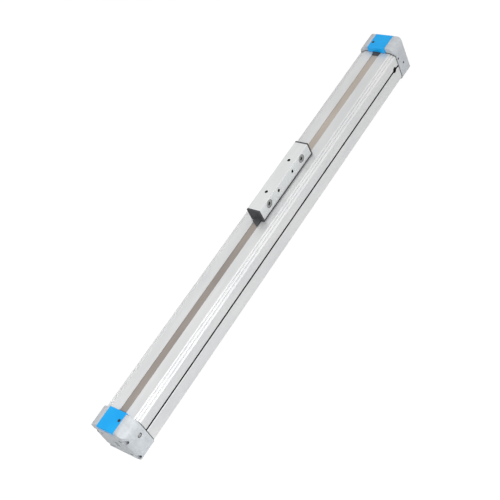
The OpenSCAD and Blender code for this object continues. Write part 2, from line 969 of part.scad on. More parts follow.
// The part of the driver inside the bore, between two levels
module bore_segment(half_len, z0, z1)
    intersection() {
        translate([0, 0, bore_z])
            bar_x(-half_len, 2 * half_len, piston_r);
        slab(-half_len - past, half_len + past, 2 * bore_d, z0, z1);
    }

// Neck that runs in the slot, with round ends
module neck()
    translate([0, 0, band_flat_z - past])
        linear_extrude(carriage_low_z - band_flat_z + 2 * past) {
            square([2 * driver_half - neck_w, neck_w], center = true);
            for (side = [-1, 1])
                translate([side * (driver_half - neck_w / 2), 0])
                    circle(d = neck_w);
        }

module side_screw_places()
    for (end = [-1, 1], side = [-1, 1])
        translate([end * side_screw_x, 0, side_hole_z])
            rotate([0, 0, side > 0 ? 0 : 180])
                children();

screw_recess = 2.4;
side_screw_r = 2.5;

module carriage_holes() {
    for (end = [-1, 1]) {
        translate([end * top_thread_x, 0, carriage_high_z - thread_depth])
            cylinder(d = thread_core_d, h = thread_depth + past);
        // The side threads go right through the block
        translate([end * side_thread_pitch / 2, -carriage_w / 2 - past, side_hole_z])
            bar_y(carriage_w + 2 * past, thread_core_d / 2);
    }
    side_screw_places() {
        translate([0, tunnel_w / 2 - past, 0])
            bar_y(carriage_w, side_screw_r + fit);
        translate([0, carriage_w / 2 - screw_recess, 0])
            bar_y(screw_recess + past, side_screw_head_d / 2 + 2.5 * fit);
    }
}

// Screws that hold the yoke to the bridge, and how far they reach into it
yoke_screw_x = driver_half - 8;
yoke_screw_y = 0.46 * bore_r;
yoke_screw_r = 1.5;
yoke_screw_reach = 3;
yoke_screw_seat_z = bore_z - 4.5;

yoke_screw_head_r = 1.75 * yoke_screw_r;

module yoke_screw_places()
    for (end = [-1, 1], side = [-1, 1])
        translate([end * yoke_screw_x, side * yoke_screw_y, 0])
            children();

module carriage() {
    color("lightgray")
        on_carriage()
            difference() {
                union() {
                    difference() {
                        along_x(-block_half, 2 * block_half)
                            block_outline();
                        slab(-block_half - past, block_half + past, tunnel_w,
                             carriage_low_z - past, tunnel_roof_z);
                        for (end = [0, 1])
                            mirror([end, 0, 0])
                                slab(pocket_start, block_half + past, tunnel_w,
                                     carriage_low_z - past, pocket_roof_z);
                    }
                    slab(-driver_half, driver_half, tunnel_w + 2, carriage_low_z, floor_top_z);
                    neck();
                    bore_segment(driver_half, bridge_low_z, band_flat_z);
                }
                carriage_holes();
                yoke_screw_places()
                    translate([0, 0, bridge_low_z - past])
                        cylinder(r = yoke_screw_r + thread_play,
                                 h = yoke_screw_reach + fit + past);
            }
}

// Black strip that wipes the barrel along one lower edge of the carriage
module side_strip() {
    strip_gap = 0.05;
    slab_y = carriage_w / 2 - strip_t + strip_gap;
    on_carriage()
        translate([-block_half, slab_y, plateau_z + clear])
            cube([2 * block_half, strip_t - strip_gap, strip_h - strip_gap]);
}

module side_strip_back() color("black") side_strip();

module side_strip_front() color("black") mirror([0, 1, 0]) side_strip();

// End cover at the carriage's +X end: a rimmed plate, a plug and a wiper tongue
module end_cover() {
    rim = 1;
    half = carriage_w / 2;
    low_z = plateau_z + clear;
    face_x = block_half + end_cover_t;
    half_w = outer_band_w / 2 - fit;
    tongue_tip_t = 1.2;
    tongue_root_t = 3.2;
    panel_depth = 0.5;
    color("black")
        difference() {
            union() {
                along_x(block_half, end_cover_t)
                    polygon([
                        [half, low_z], [half, carriage_high_z - carriage_bevel],
                        [half - carriage_bevel, carriage_high_z],
                        [-half + carriage_bevel, carriage_high_z],
                        [-half, carriage_high_z - carriage_bevel], [-half, low_z]
                    ]);
                slab(guide_end + fit, block_half + past, tunnel_w - 4 * fit,
                     roller_z + roller_r + past, pocket_roof_z - 2 * fit);
                // The tongue is thinner towards its tip, which is slanted
                intersection() {
                    across_y(carriage_w)
                        polygon([
                            [block_half + past, low_z], [face_x + tongue_len, low_z],
                            [face_x + tongue_len, low_z + tongue_tip_t],
                            [face_x, low_z + tongue_root_t],
                            [block_half + past, low_z + tongue_root_t]
                        ]);
                    linear_extrude(carriage_high_z)
                        polygon([
                            [block_half, -half_w], [face_x + tongue_short, -half_w],
                            [face_x + tongue_len, half_w], [block_half, half_w]
                        ]);
                }
            }
            // Shallow panel inside the rim
            slab(face_x - panel_depth, face_x + past, carriage_w - 2 * rim,
                 low_z + tongue_root_t + rim, carriage_high_z - rim);
        }
}

module end_cover_right() on_carriage() end_cover();

module end_cover_left() on_carriage() turned() end_cover();

// Guide in the pocket at the +X end, which carries the roller that presses the band down
module band_guide() {
    low_z = plateau_z + carriage_gap + 0.9;
    width = tunnel_w - 2 * fit;
    color("dimgray")
        difference() {
            across_y(width)
                polygon([
                    [pocket_start + fit, low_z + outer_band_rise - 1],
                    [ramp_end, low_z], [guide_end, low_z],
                    [guide_end, pocket_roof_z - fit], [pocket_start + fit, pocket_roof_z - fit]
                ]);
            slab(roller_x - roller_r - 0.4, roller_x + roller_r + 0.4, roller_w + 0.8,
                 low_z - past, roller_z + roller_r + 0.4);
            translate([roller_x, -width, roller_z])
                bar_y(2 * width, roller_pin_d / 2 + thread_play / 2);
            for (side = [0, 1])
                mirror([0, side, 0])
                    translate([side_screw_x, 1, side_hole_z])
                        bar_y(width, side_screw_r + thread_play);
        }
}

module band_guide_right() on_carriage() band_guide();

module band_guide_left() on_carriage() other_end() band_guide();

module band_roller() {
    color("white")
        translate([roller_x, -roller_w / 2, roller_z])
            difference() {
                bar_y(roller_w, roller_r);
                translate([0, -past, 0])
                    bar_y(roller_w + 2 * past, roller_pin_d / 2 + ring_play);
            }
}

module band_roller_right() on_carriage() band_roller();

module band_roller_left() on_carriage() other_end() band_roller();

module roller_pins() {
    length = tunnel_w - 4 * fit;
    color("silver")
        on_carriage()
            for (end = [-1, 1])
                translate([end * roller_x, -length / 2, roller_z])
                    bar_y(length, roller_pin_d / 2);
}

// Low-head screws that hold the band guides from both sides
module side_screws() {
    seat_y = carriage_w / 2 - screw_recess + thread_play;
    head_h = screw_recess - 0.5;
    tip_y = 1.5;
    side_key = 5;
    color("gray")
        on_carriage()
            side_screw_places()
                difference() {
                    union() {
                        translate([0, seat_y, 0])
                            bar_y(head_h, side_screw_head_d / 2);
                        translate([0, tip_y, 0])
                            bar_y(seat_y - tip_y + thread_play, side_screw_r);
                    }
                    translate([0, seat_y + head_h, 0])
                        rotate([-90, 0, 0])
                            hex_key(side_key, 0.8 * head_h);
                }
}

// ---------- piston ----------

magnet_y = 14.6;
magnet_t = 4;
magnet_h = 8;

module magnet_pockets(grow)
    for (side = [-1, 1])
        translate([-magnet_len / 2 - grow, side > 0 ? magnet_y - grow : -magnet_y - magnet_t - past,
                   side_slot_z - magnet_h / 2 - grow])
            cube([magnet_len + 2 * grow, magnet_t + past + grow, magnet_h + 2 * grow]);

// Yoke under the driver: it carries the bridge, the magnets and both pistons
module piston_yoke() {
    color("darkgray")
        on_carriage()
            difference() {
                bore_segment(yoke_half, 0, bridge_low_z);
                slab(-yoke_half - past, yoke_half + past, channel_w, channel_z,
                     bridge_low_z + past);
                for (end = [0, 1])
                    mirror([end, 0, 0])
                        slab(yoke_half - tie_len - fit, yoke_half + past, tongue_w + 2 * fit,
                             tongue_low_z - fit, tongue_low_z + tongue_h + fit);
                for (side = [-1, 1])
                    translate([side * piston_pin_x, 0, 0])
                        cylinder(d = piston_pin_d + 2 * thread_play, h = channel_z + past);
                yoke_screw_places() {
                    cylinder(r = yoke_screw_r + 2 * fit, h = plateau_z);
                    cylinder(r = yoke_screw_head_r + 2 * fit, h = yoke_screw_seat_z);
                }
                magnet_pockets(fit);
            }
}

module yoke_screws() {
    color("dimgray")
        on_carriage()
            yoke_screw_places()
                translate([0, 0, yoke_screw_seat_z])
                    rotate([0, -90, 0])
                        socket_screw(yoke_screw_r,
                                     bridge_low_z + yoke_screw_reach - yoke_screw_seat_z,
                                     yoke_screw_head_r, 2 * yoke_screw_r, 1.6 * yoke_screw_r);
}

module sensor_magnets() {
    color("dimgray")
        on_carriage()
            intersection() {
                for (side = [-1, 1])
                    translate([-magnet_len / 2, side > 0 ? magnet_y : -magnet_y - magnet_t,
                               side_slot_z - magnet_h / 2])
                        cube([magnet_len, magnet_t, magnet_h]);
                translate([0, 0, bore_z])
                    bar_x(-magnet_len, 2 * magnet_len, piston_r - 0.1);
            }
}

// A ring along X with its top flattened under the inner band
module flat_ring(from_x, length, outer_r, inner_r, flat_z)
    difference() {
        intersection() {
            translate([0, 0, bore_z])
                bar_x(from_x, length, outer_r);
            slab(from_x - past, from_x + length + past, 2 * bore_d, 0, flat_z);
        }
        translate([0, 0, bore_z])
            bar_x(from_x - past, length + 2 * past, inner_r);
    }

// Piston at the +X end, with its tongue, its ring grooves and its cushioning bore
module piston() {
    color("ivory")
        difference() {
            union() {
                intersection() {
                    translate([0, 0, bore_z])
                        bar_x(yoke_half + fit, piston_half_len - yoke_half - fit, piston_r);
                    slab(0, piston_half_len + past, 2 * bore_d, 0, band_flat_z);
                }
                slab(yoke_half - tie_len, yoke_half + past, tongue_w, tongue_low_z,
                     tongue_low_z + tongue_h);
            }
            translate([piston_pin_x, 0, 0])
                cylinder(d = piston_pin_d + 2 * thread_play, h = plateau_z);
            piston_groove(seal_at, seal_w + 2 * fit, seal_depth);
            piston_groove(guide_at, guide_w + 2 * fit, guide_t + piston_play);
            translate([0, 0, bore_z]) {
                bar_x(piston_half_len - cushion_reach - 5, cushion_reach + 5 + past,
                      cushion_bore_r);
                bar_x(piston_half_len - cushion_seal_at - cushion_seal_w - fit,
                      cushion_seal_w + 2 * fit, cushion_bore_r + cushion_seal_t);
            }
        }
}

// Groove cut into a piston, at a distance from its face
module piston_groove(from_face, width, depth)
    translate([0, 0, bore_z])
        difference() {
            bar_x(piston_half_len - from_face - width + fit, width, bore_r + past);
            bar_x(piston_half_len - from_face - width - past, width + 2 * past,
                  piston_r - depth);
        }

module piston_right() on_carriage() piston();

module piston_left() on_carriage() other_end() piston();

module piston_seal() {
    color("black")
        flat_ring(piston_half_len - seal_at - seal_w, seal_w, bore_r - ring_play,
                  piston_r - seal_depth + thread_play, inner_band_z - ring_play);
}

module piston_seal_right() on_carriage() piston_seal();

module piston_seal_left() on_carriage() other_end() piston_seal();

module guide_ring() {
    color("saddlebrown")
        flat_ring(piston_half_len - guide_at - guide_w, guide_w, bore_r - ring_play,
                  piston_r - guide_t - piston_play + thread_play, inner_band_z - ring_play);
}

module guide_ring_right() on_carriage() guide_ring();

module guide_ring_left() on_carriage() other_end() guide_ring();

module cushion_seal() {
    from_x = piston_half_len - cushion_seal_at - cushion_seal_w;
    color("black")
        translate([0, 0, bore_z])
            difference() {
                bar_x(from_x, cushion_seal_w, cushion_bore_r + cushion_seal_t - thread_play);
                bar_x(from_x - past, cushion_seal_w + 2 * past,
                      cushion_tube_d / 2 + ring_play);
            }
}

module cushion_seal_right() on_carriage() cushion_seal();

module cushion_seal_left() on_carriage() other_end() cushion_seal();

module piston_pins() {
    low_z = bore_z - piston_r + 3;
    color("dimgray")
        on_carriage()
            for (side = [-1, 1])
                translate([side * piston_pin_x, 0, low_z])
                    cylinder(d = piston_pin_d, h = channel_z - 1 - low_z);
}

barrel();
outer_band();
inner_band();
end_cap_left();
end_cap_right();
cap_gasket_left();
cap_gasket_right();
cap_oring_left();
cap_oring_right();
cushion_tube_left();
cushion_tube_right();
band_cover_left();
band_cover_right();
band_clamp_left();
band_clamp_right();
cover_screws();
clamp_screws();
body_screws();
port_plugs();
drilling_plugs();
needle_left();
needle_right();
needle_seal_left();
needle_seal_right();
carriage();
piston_yoke();
yoke_screws();
sensor_magnets();
piston_left();
piston_right();
piston_pins();
piston_seal_left();
piston_seal_right();
guide_ring_left();
guide_ring_right();
cushion_seal_left();
cushion_seal_right();
end_cover_left();
end_cover_right();
side_strip_front();
side_strip_back();
band_guide_left();
band_guide_right();
roller_pins();
side_screws();
band_roller_left();
band_roller_right();
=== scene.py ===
"""Rodless pneumatic cylinder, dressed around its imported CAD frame."""

import json
import math

import bpy
from mathutils import Matrix, Vector


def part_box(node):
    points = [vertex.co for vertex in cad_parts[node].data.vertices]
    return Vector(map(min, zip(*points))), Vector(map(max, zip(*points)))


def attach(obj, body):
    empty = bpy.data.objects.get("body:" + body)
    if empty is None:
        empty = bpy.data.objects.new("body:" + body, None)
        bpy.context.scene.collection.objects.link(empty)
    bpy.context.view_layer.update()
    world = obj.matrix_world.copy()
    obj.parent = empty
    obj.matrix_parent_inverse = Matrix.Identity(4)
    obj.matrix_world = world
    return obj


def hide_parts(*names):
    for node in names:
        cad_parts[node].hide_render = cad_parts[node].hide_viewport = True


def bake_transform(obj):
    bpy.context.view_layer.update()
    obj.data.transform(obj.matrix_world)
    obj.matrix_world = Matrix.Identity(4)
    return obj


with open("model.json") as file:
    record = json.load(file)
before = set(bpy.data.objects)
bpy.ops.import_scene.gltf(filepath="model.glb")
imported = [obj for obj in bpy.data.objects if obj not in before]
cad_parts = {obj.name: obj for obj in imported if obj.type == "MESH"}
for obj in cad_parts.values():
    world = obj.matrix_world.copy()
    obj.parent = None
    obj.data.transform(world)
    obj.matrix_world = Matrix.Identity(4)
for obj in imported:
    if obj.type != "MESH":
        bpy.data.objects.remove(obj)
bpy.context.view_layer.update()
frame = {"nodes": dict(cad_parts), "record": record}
nodes = frame["nodes"]
MM = 0.001

# ---------------------------------------------------------------- camera

CAMERA_PLACE = (-0.62366, -0.85727, 1.03489)
CAMERA_RIGHT = (0.525972, -0.772116, -0.356637)
CAMERA_UP = (0.750193, 0.223620, 0.622258)
CAMERA_LOOK = (0.400704, 0.594837, -0.696854)
CAMERA_LENS = 73.45
SENSOR_WIDTH = 36
CLIP_NEAR, CLIP_FAR = 0.05, 20


def make_camera():
    """A camera at the studio viewpoint, rolled so that the barrel climbs to the right."""
    data = bpy.data.cameras.new("studio_camera")
    data.sensor_width = SENSOR_WIDTH
    data.lens = CAMERA_LENS
    data.clip_start = CLIP_NEAR
    data.clip_end = CLIP_FAR
    camera = bpy.data.objects.new("studio_camera", data)
    bpy.context.scene.collection.objects.link(camera)
    right, up = Vector(CAMERA_RIGHT), Vector(CAMERA_UP)
    back = -Vector(CAMERA_LOOK)
    turn = Matrix((right, up, back)).transposed()
    camera.matrix_world = Matrix.Translation(CAMERA_PLACE) @ turn.to_4x4()
    bpy.context.scene.camera = camera


make_camera()

# ---------------------------------------------------------------- shader groups

EDGE_RADIUS = 0.5 * MM
SHADER_SAMPLES = 6
SHADE_REACH = 7 * MM
SHADE_FROM, SHADE_TO = 0.46, 0.12
SLOT_FLOOR, SLOT_ROOF = 23 * MM, 40 * MM
MOUTH_START, MOUTH_END = 0.3 * MM, 1.2 * MM
# Where along X the band's painted reflection begins and where it is full.
SHEEN_START, SHEEN_END = -120 * MM, 210 * MM
BUMP_STRENGTH = 0.6


def new_group(name, inputs, outputs):
    """A shader group with float inputs, given with their defaults, and named outputs."""
    group = bpy.data.node_groups.new(name, "ShaderNodeTree")
    for label, value in inputs:
        socket = group.interface.new_socket(label, in_out="INPUT", socket_type="NodeSocketFloat")
        socket.default_value = value
    for label, kind in outputs:
        group.interface.new_socket(label, in_out="OUTPUT", socket_type=kind)
    return group, group.nodes.new("NodeGroupInput"), group.nodes.new("NodeGroupOutput")


def math_node(tree, operation, first, second=None):
    """A math node whose inputs are sockets or plain numbers."""
    node = tree.nodes.new("ShaderNodeMath")
    node.operation = operation
    for slot, value in enumerate((first, second)):
        if value is None:
            continue
        if isinstance(value, (int, float)):
            node.inputs[slot].default_value = value
        else:
            tree.links.new(value, node.inputs[slot])
    return node.outputs[0]


def noise_node(tree, vector, scale, detail, roughness=0.55):
    node = tree.nodes.new("ShaderNodeTexNoise")
    node.inputs["Scale"].default_value = scale
    node.inputs["Detail"].default_value = detail
    node.inputs["Roughness"].default_value = roughness
    tree.links.new(vector, node.inputs["Vector"])
    return node.outputs["Fac"]


def stretched(tree, vector, scale):
    node = tree.nodes.new("ShaderNodeMapping")
    node.inputs["Scale"].default_value = scale
    tree.links.new(vector, node.inputs["Vector"])
    return node.outputs["Vector"]


def make_edge_wear_and_shading():
    """Mask that is 1 along convex edges, broken up so that it isn't even; it lays on edge colour
    that is partly scuffing and partly painted light.
    """
    group, entry, result = new_group(
        "EdgeWearAndShading", [("Radius", EDGE_RADIUS), ("Spread", 6.0)], [("Mask", "NodeSocketFloat")])
    bevel = group.nodes.new("ShaderNodeBevel")
    bevel.samples = SHADER_SAMPLES
    group.links.new(entry.outputs["Radius"], bevel.inputs["Radius"])
    geometry = group.nodes.new("ShaderNodeNewGeometry")
    dot = group.nodes.new("ShaderNodeVectorMath")
    dot.operation = "DOT_PRODUCT"
    group.links.new(bevel.outputs["Normal"], dot.inputs[0])
    group.links.new(geometry.outputs["Normal"], dot.inputs[1])
    away = math_node(group, "SUBTRACT", 1.0, dot.outputs["Value"])
    raised = math_node(group, "MULTIPLY", away, entry.outputs["Spread"])
    coords = group.nodes.new("ShaderNodeTexCoord")
    patches = noise_node(group, coords.outputs["Object"], 140.0, 5.0)
    broken = math_node(group, "MULTIPLY", raised, patches)
    clamp = group.nodes.new("ShaderNodeClamp")
    group.links.new(broken, clamp.inputs["Value"])
    group.links.new(clamp.outputs["Result"], result.inputs["Mask"])
    return group


def make_drawn_grain():
    """Fine lines along the length of an extruded or rolled piece."""
    group, entry, result = new_group(
        "DrawnGrain", [("Fineness", 900.0)],
        [("Lines", "NodeSocketFloat"), ("Patches", "NodeSocketFloat")])
    coords = group.nodes.new("ShaderNodeTexCoord")
    across = stretched(group, coords.outputs["Object"], (0.012, 1.0, 1.0))
    lines = group.nodes.new("ShaderNodeTexNoise")
    lines.inputs["Detail"].default_value = 4.0
    group.links.new(entry.outputs["Fineness"], lines.inputs["Scale"])
    group.links.new(across, lines.inputs["Vector"])
    broad = stretched(group, coords.outputs["Object"], (0.25, 1.0, 1.0))
    patches = noise_node(group, broad, 45.0, 3.0)
    group.links.new(lines.outputs["Fac"], result.inputs["Lines"])
    group.links.new(patches, result.inputs["Patches"])
    return group


def make_blasted_grain():
    """Fine even grain of a blasted casting or a spark-eroded mould, with faint cloudiness."""
    group, entry, result = new_group(
        "BlastedGrain", [("Fineness", 2600.0), ("Cloudiness", 38.0)],
        [("Grain", "NodeSocketFloat"), ("Clouds", "NodeSocketFloat")])
    coords = group.nodes.new("ShaderNodeTexCoord")
    grain = group.nodes.new("ShaderNodeTexNoise")
    grain.inputs["Detail"].default_value = 3.0
    group.links.new(entry.outputs["Fineness"], grain.inputs["Scale"])
    group.links.new(coords.outputs["Object"], grain.inputs["Vector"])
    clouds = group.nodes.new("ShaderNodeTexNoise")
    clouds.inputs["Detail"].default_value = 5.0
    clouds.inputs["Roughness"].default_value = 0.62
    group.links.new(entry.outputs["Cloudiness"], clouds.inputs["Scale"])
    group.links.new(coords.outputs["Object"], clouds.inputs["Vector"])
    group.links.new(grain.outputs["Fac"], result.inputs["Grain"])
    group.links.new(clouds.outputs["Fac"], result.inputs["Clouds"])
    return group


def make_deep_shade():
    """Mask that is 1 deep inside slots, holes and narrow gaps, where little light comes."""
    group, entry, result = new_group(
        "DeepShade", [("Reach", SHADE_REACH), ("Openness", SHADE_FROM), ("Darkest", SHADE_TO)],
        [("Mask", "NodeSocketFloat")])
    around = group.nodes.new("ShaderNodeAmbientOcclusion")
    around.samples = SHADER_SAMPLES
    group.links.new(entry.outputs["Reach"], around.inputs["Distance"])
    spread = group.nodes.new("ShaderNodeMapRange")
    spread.interpolation_type = "SMOOTHSTEP"
    group.links.new(entry.outputs["Openness"], spread.inputs["From Min"])
    group.links.new(entry.outputs["Darkest"], spread.inputs["From Max"])
    group.links.new(around.outputs["AO"], spread.inputs["Value"])
    group.links.new(spread.outputs["Result"], result.inputs["Mask"])
    return group


def level_between(tree, value, low, high):
    """Goes from 0 to 1 as the value goes from low to high."""
    node = tree.nodes.new("ShaderNodeMapRange")
    node.interpolation_type = "SMOOTHSTEP"
    node.inputs["From Min"].default_value = low
    node.inputs["From Max"].default_value = high
    tree.links.new(value, node.inputs["Value"])
    return node.outputs["Result"]


def make_slot_shade():
    """Mask for painted shade, 1 inside the long slots in the barrel's sides."""
    group, _, result = new_group("SlotShade", [], [("Mask", "NodeSocketFloat")])
    coords = group.nodes.new("ShaderNodeTexCoord")
    parts = group.nodes.new("ShaderNodeSeparateXYZ")
    group.links.new(coords.outputs["Object"], parts.inputs["Vector"])
    side = math_node(group, "ABSOLUTE", parts.outputs["Y"])
    inward = level_between(group, side, SIDE_FACE_Y - MOUTH_START, SIDE_FACE_Y - MOUTH_END)
    above = level_between(group, parts.outputs["Z"], SLOT_FLOOR, SLOT_FLOOR + MM)
    below = level_between(group, parts.outputs["Z"], SLOT_ROOF, SLOT_ROOF - MM)
    inside = math_node(group, "MULTIPLY", above, below)
    mask = math_node(group, "MULTIPLY", inside, inward)
    group.links.new(mask, result.inputs["Mask"])
    return group


def make_painted_sheen():
    """Mask that grows towards the end of the barrel where the band is painted brighter, as a
    painted reflection.
    """
    group, _, result = new_group("PaintedSheen", [], [("Mask", "NodeSocketFloat")])
    coords = group.nodes.new("ShaderNodeTexCoord")
    parts = group.nodes.new("ShaderNodeSeparateXYZ")
    group.links.new(coords.outputs["Object"], parts.inputs["Vector"])
    mask = level_between(group, parts.outputs["X"], SHEEN_START, SHEEN_END)
    group.links.new(mask, result.inputs["Mask"])
    return group


SIDE_FACE_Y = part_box("barrel")[1].y
EDGE_WEAR_AND_SHADING = make_edge_wear_and_shading()
DEEP_SHADE = make_deep_shade()
SLOT_SHADE = make_slot_shade()
PAINTED_SHEEN = make_painted_sheen()
DRAWN_GRAIN = make_drawn_grain()
BLASTED_GRAIN = make_blasted_grain()

# ---------------------------------------------------------------- materials


def linear(red, green, blue):
    """A colour as a paint chart gives it, from 0 to 255, made linear."""
    def one(level):
        level /= 255
        return level / 12.92 if level <= 0.04045 else ((level + 0.055) / 1.055) ** 2.4
    return (one(red), one(green), one(blue), 1.0)


# Dark grey that holes, slots and narrow gaps are painted with, as painted shade.
PAINTED_SHADE_COLOUR = linear(46, 46, 46)
NOISE_LOW, NOISE_HIGH = 0.3, 0.7


def group_node(tree, group, **values):
    node = tree.nodes.new("ShaderNodeGroup")
    node.node_tree = group
    for label, value in values.items():
        node.inputs[label].default_value = value
    return node


def mixed(tree, mask, low, high):
    """Colour that goes from low to high with the mask."""
    node = tree.nodes.new("ShaderNodeMix")
    node.data_type = "RGBA"
    tree.links.new(mask, node.inputs[0])
    for socket, value in ((node.inputs[6], low), (node.inputs[7], high)):
        if isinstance(value, tuple):
            socket.default_value = value
        else:
            tree.links.new(value, socket)
    return node.outputs[2]


def ranged(tree, value, low, high):
    """A noise value, which mostly lies in its middle range, spread from low to high."""
    node = tree.nodes.new("ShaderNodeMapRange")
    node.inputs["From Min"].default_value = NOISE_LOW
    node.inputs["From Max"].default_value = NOISE_HIGH
    node.inputs["To Min"].default_value = low
    node.inputs["To Max"].default_value = high
    tree.links.new(value, node.inputs["Value"])
    return node.outputs["Result"]


def new_material(name, metallic, extra=()):
    material = bpy.data.materials.new(name)
    material.use_nodes = True
    tree = material.node_tree
    shader = tree.nodes["Principled BSDF"]
    shader.inputs["Metallic"].default_value = metallic
    for label, value in extra:
        shader.inputs[label].default_value = value
    return material, tree, shader


def finish_surface(tree, shader, fine, broad, colours, roughness, relief, edge_strength,
                   shaded_slots=False, sheen_colours=None, depth=SHADE_REACH, shade=(SHADE_FROM, SHADE_TO)):
    """Joins a grain's two masks to colour, roughness and relief, with edges on top that show
    partly scuffing and partly painted light.

    colours is (dark, light, edge), roughness is (low, high), relief is (depth in metres,
    rounding of the edges in metres), and the number after relief is how strongly edges show.
    A place is painted darker, as painted shade, as the open share of its surroundings,
    within the depth, goes from shade's first value to its second.
    """
    dark, light, edge = colours
    body = mixed(tree, ranged(tree, broad, 0.0, 1.0), dark, light)
    # Painted reflection: towards one end of the barrel the band is painted in brighter colours.
    if sheen_colours:
        along = group_node(tree, PAINTED_SHEEN)
        brighter = mixed(tree, ranged(tree, broad, 0.0, 1.0), *sheen_colours)
        body = mixed(tree, along.outputs["Mask"], body, brighter)
    # Edge colour: partly scuffing, partly painted light; where it is lighter than the body it is
    # a painted highlight, and on the band it is darker painted shade.
    edge_mark = group_node(tree, EDGE_WEAR_AND_SHADING, Spread=edge_strength)
    surface = mixed(tree, edge_mark.outputs["Mask"], body, edge)
    # Painted shade: places that little light reaches are painted dark grey.
    deep = group_node(tree, DEEP_SHADE, Reach=depth, Openness=shade[0], Darkest=shade[1])
    mask = deep.outputs["Mask"]
    # The inside of the barrel's side slots gets the same painted shade.
    if shaded_slots:
        slots = group_node(tree, SLOT_SHADE)
        mask = math_node(tree, "MAXIMUM", mask, slots.outputs["Mask"])
    colour = mixed(tree, mask, surface, PAINTED_SHADE_COLOUR)
    tree.links.new(colour, shader.inputs["Base Color"])
    tree.links.new(ranged(tree, fine, *roughness), shader.inputs["Roughness"])
    height, rounding = relief
    soft = tree.nodes.new("ShaderNodeBevel")
    soft.samples = SHADER_SAMPLES
    soft.inputs["Radius"].default_value = rounding
    bump = tree.nodes.new("ShaderNodeBump")
    bump.inputs["Distance"].default_value = height
    bump.inputs["Strength"].default_value = BUMP_STRENGTH
    tree.links.new(fine, bump.inputs["Height"])
    tree.links.new(soft.outputs["Normal"], bump.inputs["Normal"])
    tree.links.new(bump.outputs["Normal"], shader.inputs["Normal"])


def drawn_material(name, metallic, colours, roughness, relief, edge_strength, fineness=900.0, extra=(),
                   shaded_slots=False, sheen_colours=None, shade=(SHADE_FROM, SHADE_TO)):
    material, tree, shader = new_material(name, metallic, extra)
    grain = group_node(tree, DRAWN_GRAIN, Fineness=fineness)
    finish_surface(tree, shader, grain.outputs["Lines"], grain.outputs["Patches"], colours,
                   roughness, relief, edge_strength, shaded_slots, sheen_colours, shade=shade)
    return material


def blasted_material(name, metallic, colours, roughness, relief, edge_strength, fineness=2600.0, extra=(),
                     cloudiness=38.0, depth=SHADE_REACH, shade=(SHADE_FROM, SHADE_TO)):
    material, tree, shader = new_material(name, metallic, extra)
    grain = group_node(tree, BLASTED_GRAIN, Fineness=fineness, Cloudiness=cloudiness)
    finish_surface(tree, shader, grain.outputs["Grain"], grain.outputs["Clouds"], colours,
                   roughness, relief, edge_strength, depth=depth, shade=shade)
    return material


